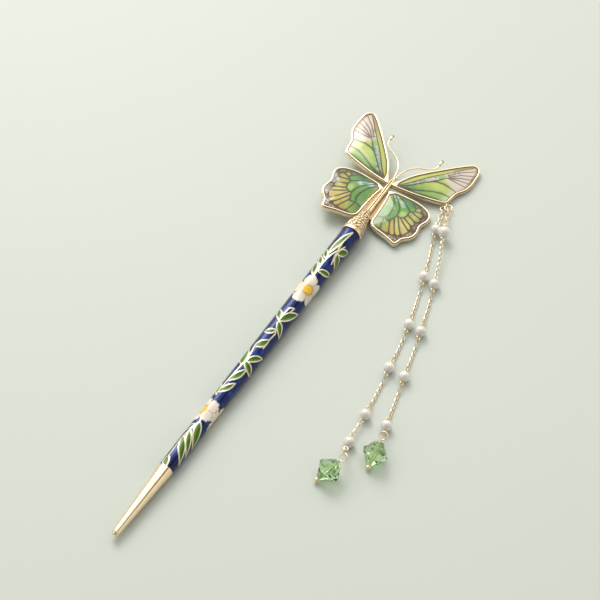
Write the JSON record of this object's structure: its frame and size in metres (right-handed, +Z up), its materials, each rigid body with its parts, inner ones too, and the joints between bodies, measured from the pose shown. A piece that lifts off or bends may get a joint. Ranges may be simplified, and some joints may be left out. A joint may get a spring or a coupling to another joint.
{
  "type": "buyao hairpin",
  "caption": "Buyao hairpin: an enamelled stick with a metal point, a butterfly with enamelled wings at its head, and strands of pearls on fine chain ending in cut glass drops",
  "frame": {"origin": "On the floor under the middle of the object's box as it lies: the stick runs along X with the butterfly's head towards +X and the metal point towards -X", "axes": "+X from the point towards the butterfly's head along the stick, +Z up from the floor it lies on, +Y towards the wing that stands higher, the strands lying on the -Y side"},
  "size_m": [0.2004, 0.0835, 0.0079],
  "materials": {
    "cobalt_enamel": "glossy vitreous enamel with wire-drawn flowers and leaves",
    "polished_gilt": "polished gold plate",
    "champagne_gilt": "satin pale gold plate",
    "forewing_enamel": "glossy domed translucent enamel",
    "hindwing_enamel": "glossy domed translucent enamel",
    "pearl": "nacre",
    "green_glass": "cut and polished"
  },
  "bodies": {
    "root": {"shaft": "cobalt_enamel", "tip": "polished_gilt", "butterfly": "champagne_gilt", "enamel_fore_left": "forewing_enamel", "enamel_fore_right": "forewing_enamel", "enamel_hind_left": "hindwing_enamel", "enamel_hind_right": "hindwing_enamel", "jump_ring_a": "champagne_gilt", "jump_ring_b": "champagne_gilt", "oval_links_a": "champagne_gilt", "oval_links_b": "champagne_gilt", "chain_a": "champagne_gilt", "chain_b": "champagne_gilt", "pearl_a_1": "pearl", "pearl_a_2": "pearl", "pearl_a_3": "pearl", "pearl_a_4": "pearl", "pearl_a_5": "pearl", "pearl_a_6": "pearl", "pin_a_1": "champagne_gilt", "pin_a_2": "champagne_gilt", "pin_a_3": "champagne_gilt", "pin_a_4": "champagne_gilt", "pin_a_5": "champagne_gilt", "pin_a_6": "champagne_gilt", "pearl_b_1": "pearl", "pearl_b_2": "pearl", "pearl_b_3": "pearl", "pearl_b_4": "pearl", "pearl_b_5": "pearl", "pin_b_1": "champagne_gilt", "pin_b_2": "champagne_gilt", "pin_b_3": "champagne_gilt", "pin_b_4": "champagne_gilt", "pin_b_5": "champagne_gilt", "drop_a": "green_glass", "drop_b": "green_glass", "head_pin_a": "polished_gilt", "head_pin_b": "polished_gilt"}
  },
  "joints": []
}
